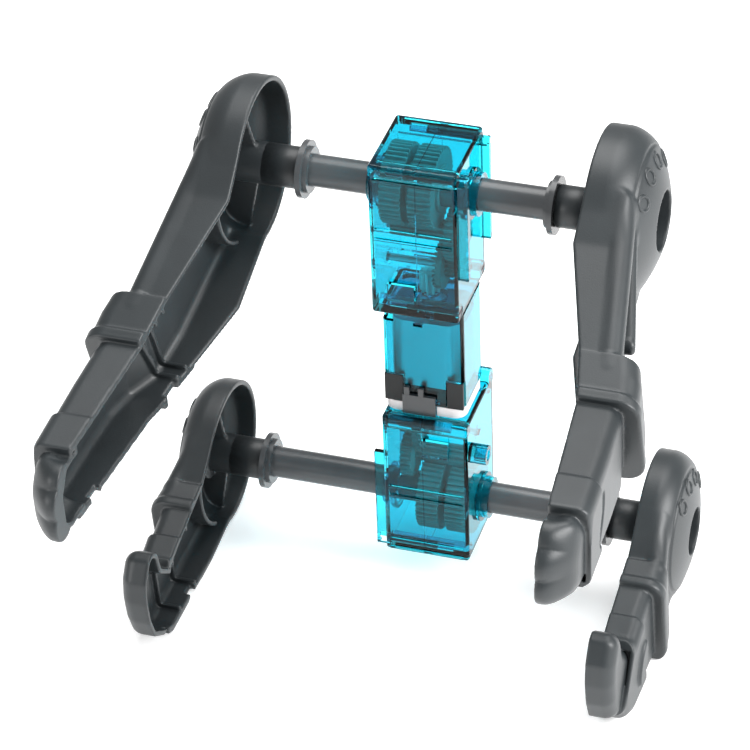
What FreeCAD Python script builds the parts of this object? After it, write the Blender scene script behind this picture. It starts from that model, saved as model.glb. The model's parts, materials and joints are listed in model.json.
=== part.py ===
import FreeCAD, Part

import math
import os

# Four-limbed walking robot drive: two identical gearboxes stacked on one
# double-shaft motor, each turning an axle that carries a pair of limbs.
# Frame: +X along the axles, -Y forward (the limbs reach forward at rest), +Z up the stack.
# The origin is under the middle of the bounding box, on the level the lower limbs lie on.

doc = FreeCAD.newDocument("walker_drive")
dims = doc.addObject("Spreadsheet::Sheet", "dims")

DIMENSIONS = {
    # stack
    "axle_spacing": 100.0,
    "belly_height": 22.2,
    "arm_reach": 121.9,
    # gearbox case, measured from its own axle (the case sits off centre sideways)
    "case_left": 12.8,
    "case_right": 11.2,
    "case_front": 13.7,
    "case_back": 12.6,
    "case_top": 13.1,
    "case_bottom": 33.1,
    "case_wall": 1.2,
    "case_round": 1.0,
    # motor and its sleeve
    "motor_wide": 20.1,
    "motor_deep": 15.1,
    "motor_long": 25.0,
    "motor_forward": 1.2,
    "sleeve_wide": 22.5,
    "sleeve_deep": 18.2,
    "sleeve_wall": 1.1,
    "shaft_radius": 1.0,
    # gears
    "gear_module": 0.5,
    "pinion_teeth": 10,
    "crown_teeth": 24,
    "idler_teeth": 30,
    "drive_teeth": 42,
    "running_gap": 0.05,
    # axles and hubs
    "axle_radius": 4.4,
    "front_axle_half": 58.0,
    "rear_axle_half": 67.5,
    "bush_radius": 5.9,
    "flange_radius": 7.9,
    "flange_thick": 1.5,
    "collar_radius": 6.3,
    "collar_long": 1.2,
    "boss_radius": 5.7,
    "front_flange_at": 33.4,
    "rear_flange_at": 48.6,
    # limbs
    "limb_wall": 1.5,
    "shoulder_radius": 23.3,
    "shoulder_rim": 45.8,
    "shoulder_out": 64.0,
    "shoulder_recess": 8.0,
    "hip_radius": 21.1,
    "hip_rim": 60.4,
    "hip_out": 73.6,
    "hip_recess": 6.6,
    "left_arm_lag": 4.7,
}
for row, (alias, value) in enumerate(DIMENSIONS.items(), start=1):
    dims.set("A%d" % row, alias)
    dims.set("B%d" % row, str(value))
    dims.setAlias("B%d" % row, alias)
doc.recompute()


def size(alias):
    return float(getattr(dims, alias))


Vec = FreeCAD.Vector
ALONG = {
    "x": FreeCAD.Rotation(Vec(0, 1, 0), 90),
    "y": FreeCAD.Rotation(Vec(1, 0, 0), -90),
    "z": FreeCAD.Rotation(),
}
AXLE_BACK = "(dims.arm_reach - dims.shoulder_radius) / 2"
REAR_LEVEL = "dims.belly_height"
FRONT_LEVEL = "dims.belly_height + dims.axle_spacing"
MIDDLE_LEVEL = "dims.belly_height + dims.axle_spacing / 2"
nodes = []


# ---------------------------------------------------------------- document helpers

def box(name, length, width, height, at):
    """A block whose edges and low corner are expressions over the sheet."""
    solid = doc.addObject("Part::Box", name)
    for prop, text in zip(("Length", "Width", "Height"), (length, width, height)):
        solid.setExpression(prop, text)
    move(solid, at)
    return solid


def rod(name, radius, length, at, along):
    """A cylinder that starts at a point and runs along +X, +Y or +Z."""
    solid = doc.addObject("Part::Cylinder", name)
    solid.setExpression("Radius", radius)
    solid.setExpression("Height", length)
    solid.Placement.Rotation = ALONG[along]
    move(solid, at)
    return solid


def move(solid, at):
    for axis, text in zip("xyz", at):
        solid.setExpression("Placement.Base." + axis, text)


def fuse(name, *solids):
    joined = doc.addObject("Part::MultiFuse", name)
    joined.Shapes = list(solids)
    return joined


def cut(name, base, *tools):
    result = doc.addObject("Part::Cut", name)
    result.Base = base
    result.Tool = tools[0] if len(tools) == 1 else fuse(name + "_tools", *tools)
    return result


def common(name, first, second):
    result = doc.addObject("Part::Common", name)
    result.Base = first
    result.Tool = second
    return result


def outline(name, face):
    """A flat face worked out from the sheet, kept as the base of an extrusion."""
    flat = doc.addObject("Part::Feature", name)
    flat.Shape = face
    return flat


def extrude(name, flat, direction, length):
    solid = doc.addObject("Part::Extrusion", name)
    solid.Base = flat
    solid.DirMode = "Custom"
    solid.Dir = direction
    solid.Solid = True
    solid.setExpression("LengthFwd", length)
    return solid


def node(solid, label, level, turn=None):
    """Names a finished sub-part and puts it at its level in the stack."""
    if turn is not None:
        solid.Placement.Rotation = turn
    move(solid, ("0", AXLE_BACK, level))
    solid.Label = label
    nodes.append(solid)
    return solid


# ---------------------------------------------------------------- outlines

def polar(radius, angle):
    return (radius * math.cos(angle), radius * math.sin(angle))


def rounded_face(corners, place):
    """A closed outline through corners (a, b, radius), each corner rounded by its radius."""
    edges = []
    count = len(corners)
    starts = []
    ends = []
    for index, (a, b, radius) in enumerate(corners):
        here = Vec(a, b, 0)
        before = Vec(*corners[index - 1][:2], 0) - here
        after = Vec(*corners[(index + 1) % count][:2], 0) - here
        half = before.getAngle(after) / 2
        reach = radius / math.tan(half) if radius else 0.0
        before.normalize()
        after.normalize()
        starts.append(here + before * reach)
        ends.append(here + after * reach)
        if radius:
            middle = (before + after).normalize()
            inset = radius / math.sin(half) - radius
            arc = Part.Arc(place(starts[-1]), place(here + middle * inset), place(ends[-1]))
            edges.append((index, arc.toShape()))
    ordered = []
    arcs = dict(edges)
    for index in range(count):
        if index in arcs:
            ordered.append(arcs[index])
        ordered.append(Part.makeLine(place(ends[index]), place(starts[(index + 1) % count])))
    return Part.Face(Part.Wire(ordered))


def side_plane(point):
    """Outline point (forward, up) on the YZ plane."""
    return Vec(0, -point.x, point.y)


# addendum and dedendum are in modules; the teeth are thinned a little for running clearance
PRESSURE_ANGLE = math.radians(20)
TOOTH_THINNING = 0.86
FLANK_STEPS = 3
WHEEL_TOOTH = (0.6, 1.25)
PINION_TOOTH = (0.95, 0.85)


def gear_face(teeth, addendum, dedendum, turn, bore):
    """An involute spur gear on the YZ plane, turned so one tooth points along the angle turn."""
    module = size("gear_module")
    pitch = module * teeth / 2
    base = pitch * math.cos(PRESSURE_ANGLE)
    tip = pitch + addendum * module
    root = pitch - dedendum * module
    half_tooth = math.pi / 2 / teeth * TOOTH_THINNING

    def flare(radius):
        return math.sqrt((radius / base) ** 2 - 1) - math.acos(base / radius)

    start = max(base, root) * 1.0001
    radii = [start + (tip - start) * step / FLANK_STEPS for step in range(FLANK_STEPS + 1)]
    flank = [(radius, half_tooth + flare(pitch) - flare(radius)) for radius in radii]
    if root < base:
        flank.insert(0, (root, flank[0][1]))
    points = []
    for tooth in range(teeth):
        middle = turn + 2 * math.pi * tooth / teeth
        points += [polar(radius, middle - half) for radius, half in flank]
        points += [polar(radius, middle + half) for radius, half in reversed(flank)]
    ring = [Vec(0, a, b) for a, b in points]
    rim = Part.makePolygon(ring + [ring[0]])
    hole = Part.Wire(Part.makeCircle(bore, Vec(0, 0, 0), Vec(1, 0, 0)))
    return Part.Face(rim).cut(Part.Face(hole)).Faces[0]


# ---------------------------------------------------------------- gear train layout
# Seen along +X, angles are measured from +Y towards +Z. The crown gear's shaft lies in the
# motor shaft's plane; the idler shaft hangs between it and the axle.

def pitch_radius(teeth_alias):
    return size("gear_module") * size(teeth_alias) / 2


PIN_RADIUS = 1.0
PINION_TEETH = int(size("pinion_teeth"))
IDLER_TEETH = int(size("idler_teeth"))
DRIVE_TEETH = int(size("drive_teeth"))
CROWN_DOWN = 22.9
CROWN_CENTRE = (-size("motor_forward"), -CROWN_DOWN)
AXLE_TO_IDLER = pitch_radius("drive_teeth") + pitch_radius("pinion_teeth")
IDLER_TO_CROWN = pitch_radius("idler_teeth") + pitch_radius("pinion_teeth")


def idler_centre():
    """The point at both centre distances, on the rear side of the line between the shafts."""
    span = math.hypot(*CROWN_CENTRE)
    along = (AXLE_TO_IDLER ** 2 - IDLER_TO_CROWN ** 2 + span ** 2) / (2 * span)
    aside = math.sqrt(max(AXLE_TO_IDLER ** 2 - along ** 2, 0.0))
    unit = (CROWN_CENTRE[0] / span, CROWN_CENTRE[1] / span)
    return (unit[0] * along - unit[1] * aside, unit[1] * along + unit[0] * aside)


IDLER_CENTRE = idler_centre()


def mesh_turn(teeth, other_teeth, other_turn, centre, other_centre):
    """The turn that puts a gap of this gear on a tooth of its neighbour on their centre line."""
    line = math.atan2(centre[1] - other_centre[1], centre[0] - other_centre[0])
    share = (line - other_turn) / (2 * math.pi / other_teeth)
    return line + math.pi - (0.5 - share) * 2 * math.pi / teeth


CROWN_TURN = -math.pi / 2
IDLER_WHEEL_TURN = mesh_turn(IDLER_TEETH, PINION_TEETH, CROWN_TURN, IDLER_CENTRE, CROWN_CENTRE)
DRIVE_TURN = mesh_turn(DRIVE_TEETH, PINION_TEETH, IDLER_WHEEL_TURN, (0, 0), IDLER_CENTRE)


def offset_outline(name, face, centre):
    face.translate(Vec(0, centre[0], centre[1]))
    return outline(name, face)


def shift_x(solid, text):
    solid.setExpression("Placement.Base.x", text)
    return solid


# Sideways places of the gears in a gearbox, in the gearbox's own frame.
PINION_FROM = -10.6
IDLER_WHEEL_FROM = 5.4
IDLER_WHEEL_LONG = 3.0
CROWN_TIP = 2.2
CROWN_ROOT = 3.15
CROWN_DISC = 1.5
CROWN_PINION_END = 9.4
CROWN_INNER = 5.3
CROWN_OUTER = 6.4
CROWN_TOOTH_TIP = 0.34
CROWN_TOOTH_ROOT = 0.86
DRIVE_GEARS = (("drive_gear", -10.9, 5.8), ("second_gear", -3.0, 6.2))


def crown_gear(prefix):
    """A face gear whose teeth look along -X, with a spur pinion on its back."""
    teeth = int(size("crown_teeth"))
    bore = size("shaft_radius") + size("running_gap")
    disc = Part.makeCylinder(CROWN_OUTER, CROWN_DISC, Vec(CROWN_ROOT, 0, 0), Vec(1, 0, 0))
    corners = [
        Vec(CROWN_TIP, -CROWN_TOOTH_TIP / 2, CROWN_INNER),
        Vec(CROWN_TIP, CROWN_TOOTH_TIP / 2, CROWN_INNER),
        Vec(CROWN_ROOT + 0.1, CROWN_TOOTH_ROOT / 2, CROWN_INNER),
        Vec(CROWN_ROOT + 0.1, -CROWN_TOOTH_ROOT / 2, CROWN_INNER),
    ]
    flat = Part.Face(Part.makePolygon(corners + [corners[0]]))
    tooth = flat.extrude(Vec(0, 0, CROWN_OUTER - CROWN_INNER - 0.05))
    ring = []
    for index in range(teeth):
        copy = tooth.copy()
        copy.rotate(Vec(0, 0, 0), Vec(1, 0, 0), 180 + 360.0 * index / teeth)
        ring.append(copy)
    pinion_at = CROWN_ROOT + CROWN_DISC
    pinion = gear_face(PINION_TEETH, *PINION_TOOTH, CROWN_TURN, bore)
    pinion.translate(Vec(pinion_at - 0.1, 0, 0))
    pinion = pinion.extrude(Vec(CROWN_PINION_END - pinion_at + 0.1, 0, 0))
    hole = Part.makeCylinder(bore, 30, Vec(-10, 0, 0), Vec(1, 0, 0))
    solid = disc.multiFuse(ring + [pinion]).cut(hole).removeSplitter()
    solid.translate(Vec(0, CROWN_CENTRE[0], CROWN_CENTRE[1]))
    gear = doc.addObject("Part::Feature", prefix + "_crown")
    gear.Shape = solid
    return group(prefix + "_crown_placed", [gear])


def idler_gear(prefix):
    """A wheel driven by the crown gear's pinion, with a long pinion that drives the axle."""
    bore = size("shaft_radius") + size("running_gap")
    long_face = gear_face(PINION_TEETH, *PINION_TOOTH, IDLER_WHEEL_TURN, bore)
    wheel_face = gear_face(IDLER_TEETH, *WHEEL_TOOTH, IDLER_WHEEL_TURN, bore)
    long_flat = offset_outline(prefix + "_idler_pinion_outline", long_face, IDLER_CENTRE)
    wheel_flat = offset_outline(prefix + "_idler_wheel_outline", wheel_face, IDLER_CENTRE)
    pinion_long = "%g" % (IDLER_WHEEL_FROM - PINION_FROM + 0.1)
    pinion = extrude(prefix + "_idler_pinion", long_flat, Vec(1, 0, 0), pinion_long)
    wheel = extrude(prefix + "_idler_wheel", wheel_flat, Vec(1, 0, 0), "%g" % IDLER_WHEEL_LONG)
    shift_x(pinion, "%g" % PINION_FROM)
    shift_x(wheel, "%g" % IDLER_WHEEL_FROM)
    return fuse(prefix + "_idler", pinion, wheel)


def drive_gear(prefix, name, start, thick):
    face = gear_face(DRIVE_TEETH, *WHEEL_TOOTH, DRIVE_TURN, size("axle_radius"))
    flat = outline(prefix + "_" + name + "_outline", face)
    gear = extrude(prefix + "_" + name + "_solid", flat, Vec(1, 0, 0), "%g" % thick)
    return fuse(prefix + "_" + name, shift_x(gear, "%g" % start),
                gear_hub(prefix, name, start, thick))


def gear_hub(prefix, name, start, thick):
    """A thicker collar round the axle, so the two gears space each other."""
    collar = rod(prefix + "_" + name + "_collar", "dims.axle_radius + 1.6", "%g" % (thick + 0.8),
                 ("%g" % start, "0", "0"), "x")
    hole = rod(prefix + "_" + name + "_collar_hole", "dims.axle_radius", "%g" % (thick + 2),
               ("%g" % (start - 0.5), "0", "0"), "x")
    return cut(prefix + "_" + name + "_hub", collar, hole)


# ---------------------------------------------------------------- gearbox

SCREW_SPOTS = ((-11.2, 10.6), (10.1, 10.6), (-11.2, -30.4), (10.1, -30.4))
SCREW_POST = 2.2
SCREW_RADIUS = 0.9
SCREW_HEAD = 1.7
SCREW_HEAD_LONG = 1.0
RAIL_OUT = 2.8
RAIL_THICK = 1.5
RAIL_TOP = 12.2
RAIL_LONG = 31.6
CLIP = (7.4, 1.3, 5.4)
BAND_LEVELS = (11.6, 8.6, -6.6, -9.6)
BAND_THICK = 0.7
BAND_PROUD = 0.4
EAR_WIDE = 3.0
EAR_RADIUS = 2.1
EAR_RISE = 0.9
PIN_SOCKET = 2.1
LEFT_SOCKET = 1.85
RIGHT_SOCKET = 1.6
PIN_INSET = 0.7
SOCKET_DEEP = 3.0
CONNECTOR_AT = (-10.4, -22.8)
CONNECTOR_RADIUS = 2.8
CONNECTOR_LONG = 5.1
CONNECTOR_BORE = 1.6
CONNECTOR_DEPTH = 3.5
BUSH_OUT = 3.0
BUSH_FLANGE = 7.0


def case_half(prefix, side):
    """One moulded half of the case: side -1 is the left half, +1 the right half."""
    name = "%s_%s" % (prefix, "left" if side < 0 else "right")
    out = "dims.case_left" if side < 0 else "dims.case_right"
    low_x = "-" + out if side < 0 else "0"
    high = "dims.case_top + dims.case_bottom"
    deep = "dims.case_front + dims.case_back"
    skin = box(name + "_skin", out, deep, high, (low_x, "-dims.case_front", "-dims.case_bottom"))
    rounded = doc.addObject("Part::Fillet", name + "_round")
    rounded.Base = skin
    doc.recompute()
    rounded.Edges = [(index + 1, size("case_round"), size("case_round"))
                     for index, edge in enumerate(skin.Shape.Edges)
                     if not is_seam_edge(edge)]
    hollow_x = "-%s + dims.case_wall" % out if side < 0 else "-1"
    hollow = box(name + "_hollow", "%s - dims.case_wall + 1" % out, deep + " - 2 * dims.case_wall",
                 high + " - 2 * dims.case_wall",
                 (hollow_x, "-dims.case_front + dims.case_wall",
                  "-dims.case_bottom + dims.case_wall"))
    shell = cut(name + "_shell", rounded, hollow)
    wall_x = "-%s" % out if side < 0 else "dims.case_right - dims.case_wall"
    additions = [shell]
    holes = [rod(name + "_axle_hole", "dims.bush_radius", "dims.case_wall + 2",
                 (wall_x + " - 1", "0", "0"), "x"),
             rod(name + "_shaft_hole", "dims.shaft_radius + 1.6", "6",
                 ("0", "-dims.motor_forward", "-dims.case_bottom - 3"), "z")]
    for label, centre in (("crown", CROWN_CENTRE), ("idler", IDLER_CENTRE)):
        spot = ("%g" % centre[0], "%g" % centre[1])
        inner = "-%s" % out if side < 0 else "%s - %g" % (out, RIGHT_SOCKET)
        long = "%g" % (LEFT_SOCKET if side < 0 else RIGHT_SOCKET)
        additions.append(rod(name + "_" + label + "_socket", "%g" % PIN_SOCKET, long,
                             (inner,) + spot, "x"))
        bottom = "-%s + %g" % (out, PIN_INSET) if side < 0 else "%s - %g" % (out, SOCKET_DEEP)
        deep_in = SOCKET_DEEP if side < 0 else SOCKET_DEEP - PIN_INSET
        holes.append(rod(name + "_" + label + "_bore", "%g" % PIN_RADIUS, "%g" % deep_in,
                         (bottom,) + spot, "x"))
    for index, (across, up) in enumerate(SCREW_SPOTS):
        spot = ("%g" % across, "%g" % up)
        post = "%s_post%d" % (name, index)
        long = "%s - 0.5" % out
        start = "-%s + 0.5" % out if side < 0 else "0"
        additions.append(rod(post, "%g" % SCREW_POST, long, (start,) + spot, "x"))
        bore_x = "-8" if side < 0 else "-1"
        holes.append(rod(post + "_bore", "%g" % SCREW_RADIUS, "30", (bore_x,) + spot, "x"))
        if side > 0:
            holes.append(rod(post + "_sink", "%g" % SCREW_HEAD, "3",
                             ("dims.case_right - %g" % SCREW_HEAD_LONG,) + spot, "x"))
    additions += case_details(name, side, out, low_x)
    return cut(name, fuse(name + "_solid", *additions), *holes)


def is_seam_edge(edge):
    """True for the edges that lie in the plane where the two halves meet."""
    return abs(edge.BoundBox.XMin) < 1e-6 and abs(edge.BoundBox.XMax) < 1e-6


def case_details(name, side, out, low_x):
    """The raised bands on the front, the clip lug, and the side rails."""
    extras = []
    for index, level in enumerate(BAND_LEVELS):
        extras.append(box("%s_band%d" % (name, index), out + " - 1.5", "%g" % (BAND_PROUD + 0.5),
                          "%g" % BAND_THICK,
                          ("%s + %g" % (low_x, 1.5 if side < 0 else 0),
                           "-dims.case_front - %g" % BAND_PROUD, "%g" % level)))
    if side < 0:
        wide, proud, tall = CLIP
        extras.append(box(name + "_clip", "%g" % wide, "%g" % (proud + 0.5), "%g" % tall,
                          ("%g" % (-wide - 0.4), "-dims.case_front - %g" % proud, "-27.6")))
        ear_y = "dims.case_back - %g" % EAR_RADIUS
        extras.append(rod(name + "_ear_round", "%g" % EAR_RADIUS, "%g" % EAR_WIDE,
                          ("-dims.case_left", ear_y, "-dims.case_bottom - %g" % EAR_RISE), "x"))
        extras.append(box(name + "_ear_root", "%g" % EAR_WIDE, "%g" % (2 * EAR_RADIUS),
                          "%g" % (EAR_RISE + 2), ("-dims.case_left",
                                                  ear_y + " - %g" % EAR_RADIUS,
                                                  "-dims.case_bottom - %g" % EAR_RISE)))
        return extras
    for label, at in (("front", "-dims.case_front + 1.1"), ("back", "8.2")):
        extras.append(box(name + "_rail_" + label, "%g" % (RAIL_OUT + 0.5), "%g" % RAIL_THICK,
                          "%g" % RAIL_LONG,
                          ("dims.case_right - 0.5", at, "%g" % (RAIL_TOP - RAIL_LONG))))
    return extras



def gearbox(prefix, level, turn):
    """All the pieces of one gearbox, made in its own frame and turned into place."""
    for side, word in ((-1, "left"), (1, "right")):
        node(case_half(prefix, side), "%s_gearbox_%s_shell" % (prefix, word), level, turn)
    screws = []
    for index, (across, up) in enumerate(SCREW_SPOTS):
        spot = ("%g" % across, "%g" % up)
        shank = rod("%s_screw%d_shank" % (prefix, index), "%g" % SCREW_RADIUS, "14",
                    ("dims.case_right - 14.5",) + spot, "x")
        head = rod("%s_screw%d_head" % (prefix, index), "%g" % (SCREW_HEAD - 0.1),
                   "%g" % (SCREW_HEAD_LONG - 0.1),
                   ("dims.case_right - %g" % SCREW_HEAD_LONG,) + spot, "x")
        slot = box("%s_screw%d_slot" % (prefix, index), "1", "2.6", "0.5",
                   ("dims.case_right - 0.6", "%g" % (across - 1.3), "%g" % (up - 0.25)))
        screws.append(cut("%s_screw%d" % (prefix, index),
                          fuse("%s_screw%d_solid" % (prefix, index), shank, head), slot))
    node(group(prefix + "_screws", screws), prefix + "_gearbox_screws", level, turn)
    for label, centre in (("crown", CROWN_CENTRE), ("idler", IDLER_CENTRE)):
        pin = rod("%s_%s_shaft" % (prefix, label), "%g" % PIN_RADIUS,
                  "dims.case_left + dims.case_right - %g" % (2 * PIN_INSET),
                  ("-dims.case_left + %g" % PIN_INSET, "%g" % centre[0], "%g" % centre[1]), "x")
        node(group("%s_%s_shaft_placed" % (prefix, label), [pin]),
             "%s_%s_pin" % (prefix, label), level, turn)
    node(group(prefix + "_bushes", [bush(prefix, -1), bush(prefix, 1)]),
         prefix + "_axle_bushes", level, turn)
    node(crown_gear(prefix), prefix + "_crown_gear", level, turn)
    node(idler_gear(prefix), prefix + "_idler_gear", level, turn)
    for name, start, thick in DRIVE_GEARS:
        node(drive_gear(prefix, name, start, thick), "%s_%s" % (prefix, name), level, turn)


def group(name, solids):
    """Identical small pieces that share a node as separate solids."""
    holder = doc.addObject("Part::Compound", name)
    holder.Links = solids
    return holder


def side_connector(prefix, level, turn):
    """The round power socket on the left wall, next to the motor end of the case."""
    spot = tuple("%g" % value for value in CONNECTOR_AT)
    barrel = rod(prefix + "_connector_barrel", "%g" % CONNECTOR_RADIUS, "%g" % CONNECTOR_LONG,
                 ("-dims.case_left - %g" % CONNECTOR_LONG,) + spot, "x")
    bore = rod(prefix + "_connector_bore", "%g" % CONNECTOR_BORE, "%g" % CONNECTOR_DEPTH,
               ("-dims.case_left - %g" % CONNECTOR_LONG,) + spot, "x")
    node(cut(prefix + "_connector_solid", barrel, bore), "side_connector", level, turn)



def bush(prefix, side):
    """A flanged plain bearing pressed into the side wall, round the axle."""
    name = "%s_bush_%s" % (prefix, "left" if side < 0 else "right")
    start = "-dims.case_left - %g" % BUSH_OUT if side < 0 else "dims.case_right - dims.case_wall"
    body = rod(name + "_body", "dims.bush_radius", "dims.case_wall + %g" % BUSH_OUT,
               (start, "0", "0"), "x")
    lip_at = "-dims.case_left - 1" if side < 0 else "dims.case_right"
    lip = rod(name + "_lip", "%g" % BUSH_FLANGE, "1", (lip_at, "0", "0"), "x")
    bore = rod(name + "_bore", "dims.axle_radius + dims.running_gap", "12",
               ("-dims.case_left - 6" if side < 0 else "dims.case_right - 6", "0", "0"), "x")
    return cut(name, fuse(name + "_solid", body, lip), bore)


# ---------------------------------------------------------------- motor and sleeve
# These are made about the middle of the stack, on the motor's axis.

MOTOR_Y = "-dims.motor_forward"
SLEEVE_HALF = "(dims.axle_spacing / 2 - dims.case_bottom)"
SLEEVE_FACE = MOTOR_Y + " - dims.sleeve_deep / 2"
SHAFT_HALF = 24.6
PINION_LONG = 6.0
SLEEVE_WINDOWS = ((-1, 5.6), (1, 5.0))
WINDOW_TALL = 9.0
WINDOW_UP = 3.0
PAD_PLAY = 0.5
PAD_THICK = 1.0
MOTOR_ROUND = 4.6
CAN_SKIN = 0.6
CAP_LONG = 3.9
TERMINAL_ASIDE = 7.6
MAGNET_OUTER = 6.7
MAGNET_INNER = 5.3
MAGNET_LONG = 15.0
ARMATURE_RADIUS = 4.9
ARMATURE_LONG = 10.0
SLOT_WIDE = 1.0
COMMUTATOR_RADIUS = 2.2
COMMUTATOR_LONG = 3.4
GUARD_ASIDE = -1.2


def centred_box(name, wide, deep, tall, low, forward=MOTOR_Y, x="0"):
    return box(name, wide, deep, tall,
               ("%s - (%s) / 2" % (x, wide), "%s - (%s) / 2" % (forward, deep), low))


def rounded_block(name, wide, deep, tall, low, radius):
    """An upright block on the motor's axis with its four upright edges rounded."""
    block = centred_box(name + "_block", wide, deep, tall, low)
    doc.recompute()
    rounded = doc.addObject("Part::Fillet", name)
    rounded.Base = block
    rounded.Edges = [(index + 1, radius, radius) for index, edge in enumerate(block.Shape.Edges)
                     if edge.BoundBox.ZLength > 0.1]
    return rounded


def motor():
    """The sleeve between the gearboxes and the double-shaft motor inside it."""
    sleeve_low = "-%s" % SLEEVE_HALF
    sleeve_tall = "2 * %s" % SLEEVE_HALF
    outer = rounded_block("sleeve_outer", "dims.sleeve_wide", "dims.sleeve_deep",
                          sleeve_tall + " - 3.4", sleeve_low + " + 3.4", 1.6)
    inner = centred_box("sleeve_inner", "dims.sleeve_wide - 2 * dims.sleeve_wall",
                        "dims.sleeve_deep - 2 * dims.sleeve_wall", sleeve_tall, sleeve_low)
    windows = []
    for side, wide in SLEEVE_WINDOWS:
        at = "%g" % (side * (11.25 - wide / 2))
        windows.append(centred_box("sleeve_window%d" % side, "%g" % wide, "4", "%g" % WINDOW_TALL,
                                   sleeve_low + " + %g" % WINDOW_UP, SLEEVE_FACE, at))
    slot = centred_box("sleeve_slot", "2.6", "4", "0.8", "11.8",
                       SLEEVE_FACE, "%g" % GUARD_ASIDE)
    corner = centred_box("sleeve_corner", "5", "5", "5", "%s - 4.4" % SLEEVE_HALF,
                         SLEEVE_FACE, "-10.4")
    node(cut("sleeve", outer, inner, slot, corner, *windows), "motor_sleeve", MIDDLE_LEVEL)
    pads = [centred_box("window_pad%d" % side, "%g" % (wide - PAD_PLAY), "%g" % PAD_THICK,
                        "%g" % (WINDOW_TALL - PAD_PLAY),
                        sleeve_low + " + %g" % (WINDOW_UP + PAD_PLAY / 2),
                        SLEEVE_FACE + " + 0.1 + %g" % (PAD_THICK / 2),
                        "%g" % (side * (11.25 - wide / 2))) for side, wide in SLEEVE_WINDOWS]
    node(group("window_pads", pads), "sleeve_window_pads", MIDDLE_LEVEL)

    can = rounded_block("can_outer", "dims.motor_wide", "dims.motor_deep", "dims.motor_long - 4",
                        "-dims.motor_long / 2 + 4", MOTOR_ROUND)
    can_hollow = rounded_block("can_inner", "dims.motor_wide - %g" % (2 * CAN_SKIN),
                               "dims.motor_deep - %g" % (2 * CAN_SKIN),
                               "dims.motor_long - 4 - %g" % CAN_SKIN,
                               "-dims.motor_long / 2 + 3.4", MOTOR_ROUND - CAN_SKIN)
    nose = rod("can_nose", "3", "1.6", ("0", MOTOR_Y, "dims.motor_long / 2"), "z")
    shaft_way = rod("can_shaft_way", "dims.shaft_radius + dims.running_gap", "20",
                    ("0", MOTOR_Y, "0"), "z")
    node(cut("can", fuse("can_solid", can, nose), can_hollow, shaft_way), "motor_can", MIDDLE_LEVEL)

    cap = rounded_block("cap_outer", "dims.motor_wide", "dims.motor_deep", "%g" % CAP_LONG,
                        "-dims.motor_long / 2", MOTOR_ROUND)
    cap_nose = rod("cap_nose", "2.6", "1.4", ("0", MOTOR_Y, "-dims.motor_long / 2 - 1.4"), "z")
    cap_way = rod("cap_shaft_way", "dims.shaft_radius + dims.running_gap", "20",
                  ("0", MOTOR_Y, "-20"), "z")
    cap_hollow = rod("cap_hollow", "5.4", "3", ("0", MOTOR_Y, "-dims.motor_long / 2 + 1.2"), "z")
    slots = [centred_box("cap_slot%d" % side, "0.7", "2.4", "6", "-dims.motor_long / 2 - 1",
                         MOTOR_Y, "%g" % (side * TERMINAL_ASIDE)) for side in (-1, 1)]
    node(cut("cap", fuse("cap_solid", cap, cap_nose), cap_way, cap_hollow, *slots),
         "motor_brush_cap", MIDDLE_LEVEL)
    tabs = [centred_box("terminal%d" % side, "0.5", "2.2", "5.6", "-dims.motor_long / 2 - 1.6",
                        MOTOR_Y, "%g" % (side * TERMINAL_ASIDE)) for side in (-1, 1)]
    node(group("terminals", tabs), "motor_terminals", MIDDLE_LEVEL)

    magnets = []
    ring_outer = rod("magnet_outer", "%g" % MAGNET_OUTER, "%g" % MAGNET_LONG,
                     ("0", MOTOR_Y, "-6.5"), "z")
    ring_inner = rod("magnet_inner", "%g" % MAGNET_INNER, "%g" % (MAGNET_LONG + 1),
                     ("0", MOTOR_Y, "-7"), "z")
    ring = cut("magnet_ring", ring_outer, ring_inner)
    for side in (-1, 1):
        half = centred_box("magnet_part%d" % side, "6", "11", "16", "-7", MOTOR_Y,
                           "%g" % (side * 5.2))
        magnets.append(common("magnet%d" % side, ring, half))
    node(group("magnets", magnets), "motor_magnets", MIDDLE_LEVEL)

    band = rounded_block("band_outer", "dims.sleeve_wide", "dims.sleeve_deep", "3.0",
                         sleeve_low + " + 0.2", 3.4)
    band_hollow = centred_box("band_inner", "dims.sleeve_wide - 2.6", "dims.sleeve_deep - 2.6",
                              "4", sleeve_low)
    comb_way = centred_box("band_comb_way", "9.6", "4", "4", sleeve_low,
                           SLEEVE_FACE, "%g" % GUARD_ASIDE)
    node(cut("band", band, band_hollow, comb_way), "motor_collar", MIDDLE_LEVEL)

    comb_y = SLEEVE_FACE + " - 0.5"
    base = centred_box("comb_base", "9.2", "1.4", "6.2", sleeve_low + " + 0.2",
                       comb_y + " + 0.2", "%g" % GUARD_ASIDE)
    prongs = [centred_box("comb_prong%d" % index, "1.5", "0.9", "2.6", sleeve_low + " + 6.3",
                          comb_y, "%g" % at) for index, at in enumerate((-4.6, -0.6))]
    back = centred_box("comb_sleeve_way", "20", "4", "30", "-%s + 3.3" % SLEEVE_HALF,
                       SLEEVE_FACE + " + 2")
    node(cut("comb", fuse("comb_solid", base, *prongs), back), "terminal_guard", MIDDLE_LEVEL)

    top_ring = rounded_block("seat_outer", "dims.motor_wide", "dims.motor_deep", "2.6",
                             "%s - 2.8" % SLEEVE_HALF, 2.6)
    top_hole = rod("seat_hole", "4.6", "6", ("0", MOTOR_Y, "%s - 4" % SLEEVE_HALF), "z")
    node(cut("seat", top_ring, top_hole), "motor_seat", MIDDLE_LEVEL)
    blocks = [centred_box("block%d" % side, "5.4", "5.6", "4.0", sleeve_low + " + 0.3",
                          MOTOR_Y + " - 4.4", "%g" % (side * 6.8)) for side in (-1, 1)]
    node(group("blocks", blocks), "motor_wire_blocks", MIDDLE_LEVEL)


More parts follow.
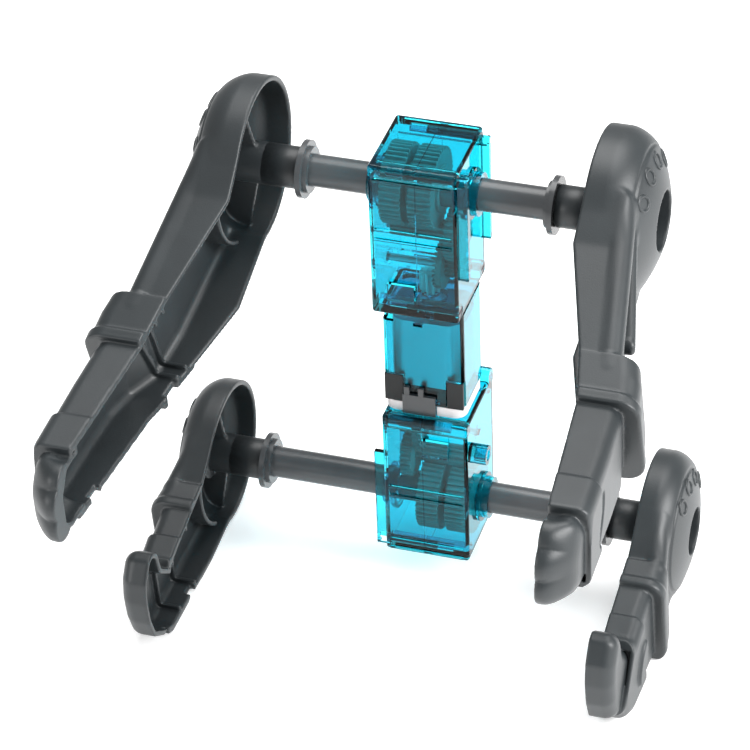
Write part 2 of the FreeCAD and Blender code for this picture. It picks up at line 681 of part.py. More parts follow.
def rotor():
    """The motor's turning parts: shaft, armature, commutator and the two end pinions."""
    shaft = rod("shaft_rod", "dims.shaft_radius", "%g" % (2 * SHAFT_HALF),
                ("0", MOTOR_Y, "%g" % -SHAFT_HALF), "z")
    node(shaft, "motor_shaft", MIDDLE_LEVEL)
    shaft.setExpression("Placement.Base.y", AXLE_BACK + " - dims.motor_forward")
    shaft.setExpression("Placement.Base.z", MIDDLE_LEVEL + " - %g" % SHAFT_HALF)
    core = Part.makeCylinder(ARMATURE_RADIUS, ARMATURE_LONG)
    for index in range(3):
        gap = Part.makeBox(3, SLOT_WIDE, ARMATURE_LONG, Vec(3.2, -SLOT_WIDE / 2, 0))
        gap.rotate(Vec(0, 0, 0), Vec(0, 0, 1), 120 * index)
        core = core.cut(gap)
    core = core.cut(Part.makeCylinder(size("shaft_radius"), ARMATURE_LONG))
    core.translate(Vec(0, -size("motor_forward"), -4))
    armature = doc.addObject("Part::Feature", "armature")
    armature.Shape = core
    node(group("armature_placed", [armature]), "motor_armature", MIDDLE_LEVEL)
    drum = rod("commutator_drum", "%g" % COMMUTATOR_RADIUS, "%g" % COMMUTATOR_LONG,
               ("0", MOTOR_Y, "-8.6"), "z")
    drum_way = rod("commutator_way", "dims.shaft_radius", "6", ("0", MOTOR_Y, "-10"), "z")
    node(cut("commutator", drum, drum_way), "motor_commutator", MIDDLE_LEVEL)
    for label, low in (("front", SHAFT_HALF - PINION_LONG), ("rear", -SHAFT_HALF)):
        face = gear_face(PINION_TEETH, *PINION_TOOTH, 0.0, size("shaft_radius"))
        face.rotate(Vec(0, 0, 0), Vec(0, 1, 0), -90)
        face.translate(Vec(0, -size("motor_forward"), low))
        pinion = extrude(label + "_pinion", outline(label + "_pinion_outline", face),
                         Vec(0, 0, 1), "%g" % PINION_LONG)
        node(pinion, label + "_motor_pinion", MIDDLE_LEVEL)


# ---------------------------------------------------------------- axles and hubs

PILOT_RADIUS = 1.4
PILOT_LONG = 10.0
SHANK_LONG = 9.5
END_HEAD_RADIUS = 2.9
END_HEAD_LONG = 1.6


def axle(prefix, half, flange_at, level):
    """A plain axle with its two flanged collars and the screws that hold the limbs on."""
    bar = rod(prefix + "_bar", "dims.axle_radius", "2 * " + half, ("-" + half, "0", "0"), "x")
    pilots = [rod("%s_pilot%d" % (prefix, side), "%g" % PILOT_RADIUS, "%g" % PILOT_LONG,
                  ("-%s" % half if side < 0 else "%s - %g" % (half, PILOT_LONG), "0", "0"), "x")
              for side in (-1, 1)]
    node(cut(prefix + "_axle_solid", bar, *pilots), prefix + "_axle", level)
    screws = []
    for side, word in ((-1, "left"), (1, "right")):
        start = "-%s - dims.flange_thick" % flange_at if side < 0 else flange_at
        ring = rod("%s_%s_ring" % (prefix, word), "dims.flange_radius", "dims.flange_thick",
                   (start, "0", "0"), "x")
        step = "-%s" % flange_at if side < 0 else "%s - dims.collar_long" % flange_at
        collar = rod("%s_%s_collar" % (prefix, word), "dims.collar_radius", "dims.collar_long",
                     (step, "0", "0"), "x")
        hole = rod("%s_%s_ring_hole" % (prefix, word), "dims.axle_radius", "12",
                   ("-%s - 6" % flange_at if side < 0 else "%s - 6" % flange_at, "0", "0"), "x")
        node(cut("%s_%s_flange_solid" % (prefix, word),
                 fuse("%s_%s_flange_body" % (prefix, word), ring, collar), hole),
             "%s_%s_flange" % (prefix, word), level)
        shank_at = "-%s" % half if side < 0 else "%s - %g" % (half, SHANK_LONG)
        shank = rod("%s_%s_shank" % (prefix, word), "%g" % PILOT_RADIUS, "%g" % SHANK_LONG,
                    (shank_at, "0", "0"), "x")
        head_at = "-%s - %g" % (half, END_HEAD_LONG) if side < 0 else half
        head = rod("%s_%s_head" % (prefix, word), "%g" % END_HEAD_RADIUS, "%g" % END_HEAD_LONG,
                   (head_at, "0", "0"), "x")
        cross = [box("%s_%s_cross%d" % (prefix, word, turn), "1", wide, tall,
                     ("-%s - 2" % half if side < 0 else "%s + 1" % half,
                      "-%s / 2" % wide, "-%s / 2" % tall))
                 for turn, (wide, tall) in enumerate((("3.2", "0.7"), ("0.7", "3.2")))]
        screws.append(cut("%s_%s_screw" % (prefix, word),
                          fuse("%s_%s_screw_body" % (prefix, word), shank, head), *cross))
    node(group(prefix + "_end_screws", screws), prefix + "_axle_end_screws", level)


# ---------------------------------------------------------------- limbs
# A limb is made for the right-hand side about its own axle. Side outlines are (forward, up);
# plan outlines are (forward, out from the robot's middle).

ARM_SIDE = [
    (16.0, 16.5, 0.0), (27.2, 8.6, 4.0), (55.0, -4.6, 6.0), (68.0, -9.6, 8.0), (108.0, -10.8, 0.8),
    (108.6, -12.6, 0.6), (114.0, -12.4, 3.0), (121.9, -19.0, 5.0), (121.9, -29.6, 3.0),
    (113.0, -33.8, 3.0), (60.0, -36.8, 6.0), (45.0, -33.2, 6.0), (4.0, -22.9, 0.0),
    (-8.0, -6.0, 0.0),
]
ARM_PLAN_IN = [(-26, 45.8), (26, 45.8), (54, 54.4), (67, 57.2), (108, 61.0), (126, 61.4)]
ARM_PLAN_OUT = [(-26, 58.0), (10, 59.0), (40, 62.0), (60, 69.4), (100, 72.2), (126, 70.0)]
LEG_SIDE = [
    (14.0, 15.0, 0.0), (24.0, 8.2, 3.0), (33.0, 5.6, 3.0), (50.0, 1.4, 2.0), (57.0, 2.6, 1.2),
    (60.6, 12.6, 2.4), (66.4, 12.6, 3.0), (70.0, 4.0, 6.0), (69.6, -6.0, 6.0), (64.0, -16.4, 4.0),
    (54.0, -21.4, 4.0), (20.0, -22.2, 3.0), (7.0, -19.9, 0.0), (-6.0, -6.0, 0.0),
]
LEG_PLAN_IN = [(-26, 60.4), (74, 60.4)]
LEG_PLAN_OUT = [(-26, 71.0), (30, 73.6), (52, 72.6), (74, 69.6)]


def plan_face(inner, outer, wall):
    """The band between the limb's open rim and its outer side, seen from above."""
    if wall:
        inner = [(forward, out - 20) for forward, out in inner]
        outer = [(forward, out - wall) for forward, out in outer]
    edges = []
    for run in (inner, list(reversed(outer))):
        curve = Part.BSplineCurve()
        if len(run) > 2:
            curve.interpolate([Vec(out, -forward, 0) for forward, out in run])
            edges.append(curve.toShape())
        else:
            edges.append(Part.makeLine(*[Vec(out, -forward, 0) for forward, out in run]))
    first, second = edges
    closing = [Part.makeLine(first.Vertexes[-1].Point, second.Vertexes[0].Point),
               Part.makeLine(second.Vertexes[-1].Point, first.Vertexes[0].Point)]
    return Part.Face(Part.Wire([first, closing[0], second, closing[1]]))


PLAN_LOW = -60.0
PLAN_TALL = 100.0


def limb_solid(name, side_corners, plan_in, plan_out, wall):
    """Side outline crossed with plan outline; a wall of 0 gives the outside."""
    side = rounded_face(side_corners, side_plane)
    if wall:
        side = side.makeOffset2D(-wall)
    tall = extrude(name + "_side", outline(name + "_side_outline", side), Vec(1, 0, 0), "90")
    plan = plan_face(plan_in, plan_out, wall)
    plan.translate(Vec(0, 0, PLAN_LOW))
    flat = extrude(name + "_plan", outline(name + "_plan_outline", plan), Vec(0, 0, 1),
                   "%g" % PLAN_TALL)
    return common(name, tall, flat)


def dome_solid(name, radius, rim, out, wall):
    """A round shoulder or hip: a straight rim, a rounded edge and a gently domed face."""
    if wall:
        radius, out, rim = radius - wall, out - wall, rim - 20
    turn_in = 0.42 * (out - (rim + (20 if wall else 0)))
    edge_x = out - turn_in
    profile = [
        Part.makeLine(Vec(rim, 0, 0), Vec(rim, radius, 0)),
        Part.makeLine(Vec(rim, radius, 0), Vec(edge_x - 3.2, radius - 0.3, 0)),
        Part.Arc(Vec(edge_x - 3.2, radius - 0.3, 0), Vec(edge_x + 1.2, radius - 2.6, 0),
                 Vec(edge_x + 3.4, radius - 7.0, 0)).toShape(),
        Part.Arc(Vec(edge_x + 3.4, radius - 7.0, 0), Vec(out - 0.9, radius * 0.36, 0),
                 Vec(out, 0, 0)).toShape(),
        Part.makeLine(Vec(out, 0, 0), Vec(rim, 0, 0)),
    ]
    flat = outline(name + "_profile", Part.Face(Part.Wire(profile)))
    turned = doc.addObject("Part::Revolution", name)
    turned.Source = flat
    turned.Axis = Vec(1, 0, 0)
    turned.Base = Vec(0, 0, 0)
    turned.Angle = 360
    turned.Solid = True
    return turned


def limb(prefix, side_corners, plan_in, plan_out, radius, rim, out, recess, flange_at, screw_at):
    """A hollow limb, open towards the robot's middle, with its hub boss and ribs."""
    outer = fuse(prefix + "_outer",
                 limb_solid(prefix + "_arm_out", side_corners, plan_in, plan_out, 0),
                 dome_solid(prefix + "_dome_out", size(radius), size(rim), size(out), 0))
    wall = size("limb_wall")
    inner = fuse(prefix + "_inner",
                 limb_solid(prefix + "_arm_in", side_corners, plan_in, plan_out, wall),
                 dome_solid(prefix + "_dome_in", size(radius), size(rim), size(out), wall))
    shell = cut(prefix + "_shell", outer, inner)
    boss_end = "dims.%s - 1" % out
    boss = rod(prefix + "_boss", "dims.boss_radius",
               "%s - dims.%s - dims.flange_thick" % (boss_end, flange_at),
               ("dims.%s + dims.flange_thick" % flange_at, "0", "0"), "x")
    cup = rod(prefix + "_cup", "dims.%s + 1.4" % recess, "dims.%s - %s + 0.2" % (out, screw_at),
              ("%s - 1.4" % screw_at, "0", "0"), "x")
    ribs = [box("%s_rib%d" % (prefix, index), "dims.%s - dims.%s - 7" % (out, rim), "1.2",
                "dims.%s - 2" % radius,
                ("dims.%s + 2" % rim, "-0.6", low))
            for index, low in enumerate(("0", "-dims.%s + 2" % radius))]
    sink = rod(prefix + "_sink", "dims." + recess, "20", ("%s" % screw_at, "0", "0"), "x")
    hole = rod(prefix + "_hole", "dims.axle_radius", "60", ("%s - 60" % screw_at, "0", "0"), "x")
    body = fuse(prefix + "_body", shell, boss, cup, *ribs)
    return cut(prefix + "_limb", body, sink, hole)


def limb_pair(prefix, solid, level, names, lag):
    """The right limb as made, and its mirror image for the left."""
    mirrored = doc.addObject("Part::Mirroring", prefix + "_mirror")
    mirrored.Source = solid
    mirrored.Normal = Vec(1, 0, 0)
    mirrored.Base = Vec(0, 0, 0)
    left = group(prefix + "_left", [mirrored])
    right = group(prefix + "_right", [solid])
    node(right, names[1], level)
    node(left, names[0], level, FreeCAD.Rotation(Vec(1, 0, 0), lag))


# ---------------------------------------------------------------- assembly

gearbox("front", FRONT_LEVEL, None)
gearbox("rear", REAR_LEVEL, FreeCAD.Rotation(Vec(0, 1, 0), 180))
side_connector("rear", REAR_LEVEL, FreeCAD.Rotation(Vec(0, 1, 0), 180))
motor()
rotor()
axle("front", "dims.front_axle_half", "dims.front_flange_at", FRONT_LEVEL)
axle("rear", "dims.rear_axle_half", "dims.rear_flange_at", REAR_LEVEL)
arm = limb("arm", ARM_SIDE, ARM_PLAN_IN, ARM_PLAN_OUT, "shoulder_radius", "shoulder_rim",
           "shoulder_out", "shoulder_recess", "front_flange_at", "dims.front_axle_half")
limb_pair("arm", arm, FRONT_LEVEL, ("left_arm", "right_arm"), size("left_arm_lag"))
leg = limb("leg", LEG_SIDE, LEG_PLAN_IN, LEG_PLAN_OUT, "hip_radius", "hip_rim",
           "hip_out", "hip_recess", "rear_flange_at", "dims.rear_axle_half")
limb_pair("leg", leg, REAR_LEVEL, ("left_leg", "right_leg"), 0.0)
doc.recompute()

os.makedirs("parts", exist_ok=True)
for thing in doc.Objects:
    if "Invalid" in thing.State or "Error" in thing.State:
        raise RuntimeError("%s did not compute: %s" % (thing.Name, thing.State))
for solid in nodes:
    if solid.Shape.isNull() or not solid.Shape.isValid():
        raise RuntimeError("%s has no valid shape" % solid.Label)
for solid in nodes:
    solid.Shape.exportStep("parts/%s.step" % solid.Label)
    bounds = solid.Shape.optimalBoundingBox()
    print("%-28s solids %d volume %9.1f  x %7.1f %7.1f  y %7.1f %7.1f  z %7.1f %7.1f" % (
        solid.Label, len(solid.Shape.Solids), solid.Shape.Volume, bounds.XMin, bounds.XMax,
        bounds.YMin, bounds.YMax, bounds.ZMin, bounds.ZMax))
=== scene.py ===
import json
import math

import bpy
import numpy as np
from mathutils import Matrix, Vector


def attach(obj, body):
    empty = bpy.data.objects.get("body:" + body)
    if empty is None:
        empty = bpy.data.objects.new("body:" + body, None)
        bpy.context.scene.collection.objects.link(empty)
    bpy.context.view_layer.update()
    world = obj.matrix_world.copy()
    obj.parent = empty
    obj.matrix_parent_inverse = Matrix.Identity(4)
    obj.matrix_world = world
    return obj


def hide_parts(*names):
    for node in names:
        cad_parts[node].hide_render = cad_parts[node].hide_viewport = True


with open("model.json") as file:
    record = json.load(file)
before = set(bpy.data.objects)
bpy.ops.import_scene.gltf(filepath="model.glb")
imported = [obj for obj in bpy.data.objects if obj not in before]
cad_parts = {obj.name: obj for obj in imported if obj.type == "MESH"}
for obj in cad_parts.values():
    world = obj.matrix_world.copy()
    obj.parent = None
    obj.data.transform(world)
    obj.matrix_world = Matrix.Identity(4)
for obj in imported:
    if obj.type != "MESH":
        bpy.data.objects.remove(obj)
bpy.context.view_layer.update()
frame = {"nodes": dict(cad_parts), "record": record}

MM = 0.001
AXLE_Y = 49.3
FRONT_Z = 122.2
REAR_Z = 22.2
ARM_LAG = math.radians(4.7)     # how far the left arm hangs below the right one


# ---------------------------------------------------------------- materials

def new_material(name):
    material = bpy.data.materials.new(name)
    material.use_nodes = True
    nodes = material.node_tree.nodes
    return material, nodes, material.node_tree.links, nodes["Principled BSDF"]


CLOUD_SCALE = 60
GRAIN_HEIGHT = 0.0001


def mould_texture(nodes, links, shader, dark, light, scale, relief_strength):
    """Slight colour variation and a fine moulded grain, both in object space."""
    coords = nodes.new("ShaderNodeTexCoord")
    cloud = nodes.new("ShaderNodeTexNoise")
    cloud.inputs["Scale"].default_value = CLOUD_SCALE
    cloud.inputs["Detail"].default_value = 3
    links.new(coords.outputs["Object"], cloud.inputs["Vector"])
    ramp = nodes.new("ShaderNodeValToRGB")
    ramp.color_ramp.elements[0].position = 0.35
    ramp.color_ramp.elements[1].position = 0.65
    ramp.color_ramp.elements[0].color = (*dark, 1)
    ramp.color_ramp.elements[1].color = (*light, 1)
    links.new(cloud.outputs["Fac"], ramp.inputs["Fac"])
    links.new(ramp.outputs["Color"], shader.inputs["Base Color"])
    grain = nodes.new("ShaderNodeTexNoise")
    grain.inputs["Scale"].default_value = scale
    grain.inputs["Detail"].default_value = 4
    links.new(coords.outputs["Object"], grain.inputs["Vector"])
    relief = nodes.new("ShaderNodeBump")
    relief.inputs["Strength"].default_value = relief_strength
    relief.inputs["Distance"].default_value = GRAIN_HEIGHT
    links.new(grain.outputs["Fac"], relief.inputs["Height"])
    links.new(relief.outputs["Normal"], shader.inputs["Normal"])


def plastic(name, colour, rough, spread=0.12):
    material, nodes, links, shader = new_material(name)
    mould_texture(nodes, links, shader, [c * (1 - spread) for c in colour],
                  [c * (1 + spread) for c in colour], 2500, 0.25)
    shader.inputs["Roughness"].default_value = rough
    return material


def metal(name, colour, rough):
    material, nodes, links, shader = new_material(name)
    mould_texture(nodes, links, shader, [c * 0.92 for c in colour], colour, 900, 0.1)
    shader.inputs["Metallic"].default_value = 1.0
    shader.inputs["Roughness"].default_value = rough
    return material


def clear_plastic(name, colour, shade, rough):
    """Tinted clear moulding. Lamps reach what is inside it through the paler shade."""
    material, nodes, links, shader = new_material(name)
    mould_texture(nodes, links, shader, [c * 0.97 for c in colour], colour, 300, 0.02)
    shader.inputs["Transmission Weight"].default_value = 1.0
    shader.inputs["Roughness"].default_value = rough
    shader.inputs["IOR"].default_value = 1.3
    lamp = nodes.new("ShaderNodeBsdfTransparent")
    lamp.inputs["Color"].default_value = (*shade, 1)
    path = nodes.new("ShaderNodeLightPath")
    either = nodes.new("ShaderNodeMixShader")
    links.new(path.outputs["Is Shadow Ray"], either.inputs[0])
    links.new(shader.outputs["BSDF"], either.inputs[1])
    links.new(lamp.outputs["BSDF"], either.inputs[2])
    links.new(either.outputs["Shader"], nodes["Material Output"].inputs["Surface"])
    return material


FINISHES = {
    "clear_cyan": clear_plastic("clear_cyan", (0.03, 0.6, 0.72), (0.7, 0.92, 0.96), 0.02),
    "charcoal_plastic": plastic("charcoal_plastic", (0.019, 0.0236, 0.026), 0.43),
    "grey_plastic": plastic("grey_plastic", (0.058, 0.062, 0.066), 0.27),
    "gear_plastic": plastic("gear_plastic", (0.3, 0.15, 0.14), 0.5),
    "white_plastic": plastic("white_plastic", (0.82, 0.76, 0.76), 0.45, 0.04),
    "black_plastic": plastic("black_plastic", (0.004, 0.0045, 0.005), 0.6),
    "steel": metal("steel", (0.6, 0.6, 0.62), 0.3),
    "black_screw": metal("black_screw", (0.09, 0.09, 0.1), 0.35),
    "brass": metal("brass", (0.78, 0.57, 0.28), 0.3),
    "iron": metal("iron", (0.28, 0.28, 0.3), 0.55),
}
slot_of = {part["node"]: part["material_slot"] for part in frame["record"]["subparts"]}
for name, thing in frame["nodes"].items():
    thing.data.materials.clear()
    thing.data.materials.append(FINISHES[slot_of[name]])


# ---------------------------------------------------------------- solids from distance fields
# A limb is modelled as a distance field in its own frame, in millimetres about its axle:
# u forward, v up, x outward. Negative is inside.

WALL = 1.5
BOSS_RADIUS = 5.7
BORE_RADIUS = 4.45
EDGE_ROUND = 0.35
INNER_ROUND = 0.25
NOTCH_DEEP = 1.4
CROSS_RIB_HALF = 0.5
HUB_RIB_HALF = 0.6
RIB_COVER = 0.6         # how far a rib stops below the outer face
GROOVE_DEEP = 0.35
GROOVE_SINK = 0.2

def smooth_step(low, high, value):
    t = np.clip((value - low) / (high - low), 0, 1)
    return t * t * (3 - 2 * t)


def round_common(a, b, radius):
    """Intersection with a rounded outside edge."""
    return np.minimum(-radius, np.maximum(a, b)) + np.hypot(
        np.maximum(a + radius, 0), np.maximum(b + radius, 0))


def blend_union(a, b, radius):
    h = np.clip(0.5 + 0.5 * (b - a) / radius, 0, 1)
    return b * (1 - h) + a * h - radius * h * (1 - h)


def blend_cut(a, b, radius):
    """a with b taken away, the new edge softened by radius."""
    return -blend_union(-a, b, radius)


def polygon_distance(corners, u, v):
    """Signed distance to a closed outline of straight runs."""
    best = np.full(u.shape, 1e9)
    inside = np.zeros(u.shape, bool)
    for (ax, ay), (bx, by) in zip(corners, corners[1:] + corners[:1]):
        ex, ey = bx - ax, by - ay
        t = np.clip(((u - ax) * ex + (v - ay) * ey) / (ex * ex + ey * ey), 0, 1)
        best = np.minimum(best, np.hypot(u - ax - t * ex, v - ay - t * ey))
        crosses = (ay > v) != (by > v)
        where = ax + (v - ay) * ex / (ey if ey else 1e-9)
        inside ^= crosses & (u < where)
    return np.where(inside, -best, best)


def soften(field, times):
    """Rounds an outline's corners by averaging its distance field."""
    for _ in range(times):
        for axis in (0, 1):
            ahead = np.roll(field, 1, axis)
            back = np.roll(field, -1, axis)
            field = 0.25 * ahead + 0.5 * field + 0.25 * back
    return field


def capsule(u, v, x, start, end, radius):
    line = np.subtract(end, start)
    t = ((u - start[0]) * line[0] + (v - start[1]) * line[1] + (x - start[2]) * line[2])
    t = np.clip(t / line.dot(line), 0, 1)
    return np.sqrt((u - start[0] - t * line[0]) ** 2 + (v - start[1] - t * line[1]) ** 2
                   + (x - start[2] - t * line[2]) ** 2) - radius


def surface_net(field, low, step):
    """The zero surface of a field on a grid, as corner points and four-sided faces."""
    shape = [n - 1 for n in field.shape]
    sign = field < 0
    mixed = np.zeros(shape, np.int8)
    for i in (0, 1):
        for j in (0, 1):
            for k in (0, 1):
                mixed += sign[i:i + shape[0], j:j + shape[1], k:k + shape[2]]
    cells = np.argwhere((mixed > 0) & (mixed < 8))
    total = np.zeros((len(cells), 3))
    count = np.zeros(len(cells))
    for axis in range(3):
        others = [a for a in range(3) if a != axis]
        for first in (0, 1):
            for second in (0, 1):
                start = cells.copy()
                start[:, others[0]] += first
                start[:, others[1]] += second
                end = start.copy()
                end[:, axis] += 1
                a = field[start[:, 0], start[:, 1], start[:, 2]]
                b = field[end[:, 0], end[:, 1], end[:, 2]]
                hit = (a < 0) != (b < 0)
                share = np.where(hit, a / np.where(hit, a - b, 1), 0)
                point = start.astype(float)
                point[:, axis] += share
                total += point * hit[:, None]
                count += hit
    points = np.array(low) + total / count[:, None] * step
    index = np.full(shape, -1, np.int32)
    index[cells[:, 0], cells[:, 1], cells[:, 2]] = np.arange(len(cells))
    quads = []
    for axis in range(3):
        b, c = (axis + 1) % 3, (axis + 2) % 3
        here = np.moveaxis(sign, (axis, b, c), (0, 1, 2))
        cell = np.moveaxis(index, (axis, b, c), (0, 1, 2))
        edge = here[:-1, 1:-1, 1:-1] != here[1:, 1:-1, 1:-1]
        spot = np.argwhere(edge)
        i, j, k = spot[:, 0], spot[:, 1] + 1, spot[:, 2] + 1
        ring = np.stack([cell[i, j - 1, k - 1], cell[i, j, k - 1], cell[i, j, k],
                         cell[i, j - 1, k]], 1)
        flip = ~here[i, j, k]
        ring[flip] = ring[flip][:, ::-1]
        quads.append(ring)
    return points, np.concatenate(quads)


def tube(profile, sides=72):
    """A closed shape turned about the axle from (x, radius) corners listed round its section."""
    angles = np.arange(sides) * 2 * math.pi / sides
    points = np.array([(r * math.cos(a), r * math.sin(a), x) for x, r in profile for a in angles])
    quads = []
    count = len(profile)
    for i in range(count):
        for j in range(sides):
            k = (j + 1) % sides
            n = (i + 1) % count
            quads.append((i * sides + j, i * sides + k, n * sides + k, n * sides + j))
    return points, np.array(quads)


def limb_grid(u_range, v_range, x_range, step):
    """The three axes of a limb's grid, ready to be combined, and its lowest corner."""
    axes = [np.arange(a, b + step, step) for a, b in (u_range, v_range, x_range)]
    low = [axis[0] for axis in axes]
    return np.meshgrid(*axes, indexing="ij", sparse=True), low


def side_view(u, v):
    """u and v of the grid's columns, as two flat tables."""
    return u[:, :, 0] + 0 * v[:, :, 0], v[:, :, 0] + 0 * u[:, :, 0]


def corner_passes(width, step):
    """How many passes of soften round an outline by the same width at any grid step."""
    return max(1, int(round((width / step) ** 2)))


def swell(at, wide, value):
    """1 at a place, falling away smoothly on both sides of it."""
    return np.exp(-((value - at) / wide) ** 2)


def groove_ring(whole, u, v, x, crown, at, deep):
    """A fine step turned round the dome, where its cap meets the rim."""
    away = np.hypot(np.hypot(u, v) - at, x - crown) - deep
    return blend_cut(whole, away, 0.3)


def dome_height(around, dome, radius):
    """The outer face of a shoulder or hip: dome is its height and its fall per square mm."""
    top, fall = dome
    return top - fall * np.clip(around, 0, radius) ** 2


def disc_solid(around, x, radius, crown, rounding, inset):
    """A domed disc about the axle. An inset gives the hollow inside it."""
    return round_common((around - radius)[:, :, None] + inset, x - crown[:, :, None] + inset,
                        max(rounding - inset, 1.5))


def wrap_band(along, lean, low, high, side, face, x, rounding):
    """A flat-ended sleeve round the tray, square to its own leaning direction."""
    middle, half = (low + high) / 2, (high - low) / 2
    ends = (np.abs(along - middle) - half) / math.hypot(1, lean)
    body = round_common(side[:, :, None], x - face[:, :, None], rounding)
    return round_common(body, ends[:, :, None], EDGE_ROUND)


def cross_rib(along, at, outside, inside, tall):
    """A thin wall across the moulding, standing tall off its inner face."""
    sheet = np.abs(along[:, :, None] - at) - CROSS_RIB_HALF
    return np.maximum(np.maximum(sheet, outside + RIB_COVER), -(inside + tall))


def add_spine(shell, outside, u, v, x, line, plain, radius, reach):
    """A rounded bead along the middle of the inner face, between the two ends of reach."""
    off_face = (x - (plain - 1.6)[:, :, None]) * 0.8
    spine = np.maximum(np.hypot(v - line, off_face) - radius,
                       np.maximum(reach[0] - u, u - reach[1]))
    return blend_union(shell, np.maximum(spine, outside + 0.8), 0.6)


def add_hub_ribs(shell, outside, u, v, x, ring_radius, ring_from, rib_reach, rib_from, rib_slope):
    """A curved wall in front of the hub, and an upright rib across the disc."""
    ring = np.maximum(np.maximum(np.abs(np.hypot(u, v) - ring_radius) - HUB_RIB_HALF,
                                 ring_from - x),
                      np.maximum(outside + RIB_COVER, 10 - u))
    shell = np.minimum(shell, ring)
    rib = np.maximum(np.maximum(np.abs(u) - HUB_RIB_HALF, np.abs(v) - rib_reach),
                     np.maximum(rib_from + rib_slope * (np.abs(v) - 5) - x,
                                outside + RIB_COVER))
    return np.minimum(shell, rib)


def drill_and_trim(shell, outside, u, v, x, rim, notches, hub_from, boss_to, cup_from,
                   cup_radius, recess_from, recess_radius):
    """The hub boss, the screw recess and its cup, the axle hole, and the open rim with notches."""
    off_axle = np.hypot(u, v)
    shell = blend_union(shell, np.maximum(off_axle - BOSS_RADIUS, x - boss_to), 1.0)
    cup = np.maximum(off_axle - cup_radius, np.maximum(cup_from - x, outside + 0.2))
    shell = np.minimum(shell, cup)
    recess = np.maximum(off_axle - recess_radius, recess_from - x)
    shell = round_common(shell, -recess, 0.4)
    shell = np.maximum(shell, BORE_RADIUS - off_axle)
    lip = rim[:, :, None] - x
    for cu, cv, half in notches:
        notch = np.maximum(np.abs(u - cu) - half, np.abs(v - cv) - 3.2)
        lip = np.maximum(lip, -np.maximum(notch, x - rim[:, :, None] - NOTCH_DEEP))
    return round_common(shell, np.where(off_axle < 6.0, hub_from - x, lip), EDGE_ROUND)


# ---------------------------------------------------------------- arm

ARM_BODY = [
    (14.0, 17.6), (27.2, 8.4), (54.5, -4.7), (67.5, -10.4), (108.5, -11.4), (113.0, -34.0),
    (60.0, -36.4), (45.0, -33.0), (4.0, -22.9), (-8.0, -6.0),
]
PALM = [
    (98.0, -14.2), (112.0, -13.4), (117.0, -20.0), (117.0, -30.0), (112.6, -33.0), (98.0, -33.6),
]
PALM_FROM = 100
PALM_FACE = 70.4
KNUCKLES = ((113.6, -16.8, 4.6), (115.9, -21.4, 5.7), (116.4, -27.6, 5.5))
KNUCKLE_FADE = (63, 69)             # the knuckles smooth out between these heights
ARM_RADIUS = 23.3
ARM_DISC_ROUND = 5.0
ARM_DOME = (64.0, 0.0148)
ARM_END = 108.2
ARM_FACE = ([-26, 10, 40, 54, 60, 70, 84, 108, 126],
            [57.4, 58.2, 60.7, 63.2, 67.4, 69.6, 70.4, 71.2, 71.2])
ARM_RIM = ([-26, 27, 54, 67, 108, 126], [45.8, 45.8, 54.5, 57.3, 61.1, 61.5])
ARM_RIDGE = ((14, 11.6, 55.9), (56, -8.4, 62.8), 3.2)
CUFF_FROM = 95.5
CUFF_RISE = 0.7
PAD_AT = (94.5, -24.0)
ELBOW_LEAN = 0.27
ELBOW = (54.4, 67.8)
ELBOW_BEAD = (66.2, 68.9)
ELBOW_FACE = ([54, 60, 69], [70.0, 71.6, 72.8])
FIN = (15, 43.5)                    # the fin runs between these, falling by FIN_FALL per FIN_RUN
FIN_LOW = -9
FIN_FALL = 13
FIN_RUN = 26.5
FIN_TOP = ([15, 46], [59.6, 67.0])
WRIST_GAP = 2.2


def palm_outside(x, knuckles, block):
    """The fist: separate knuckles low down, one smooth back above them."""
    fade = smooth_step(*KNUCKLE_FADE, x)
    lobed = knuckles[:, :, None] * (1 - fade) + (block[:, :, None] + 0.6) * fade
    return round_common(lobed, x - PALM_FACE, 7.5)


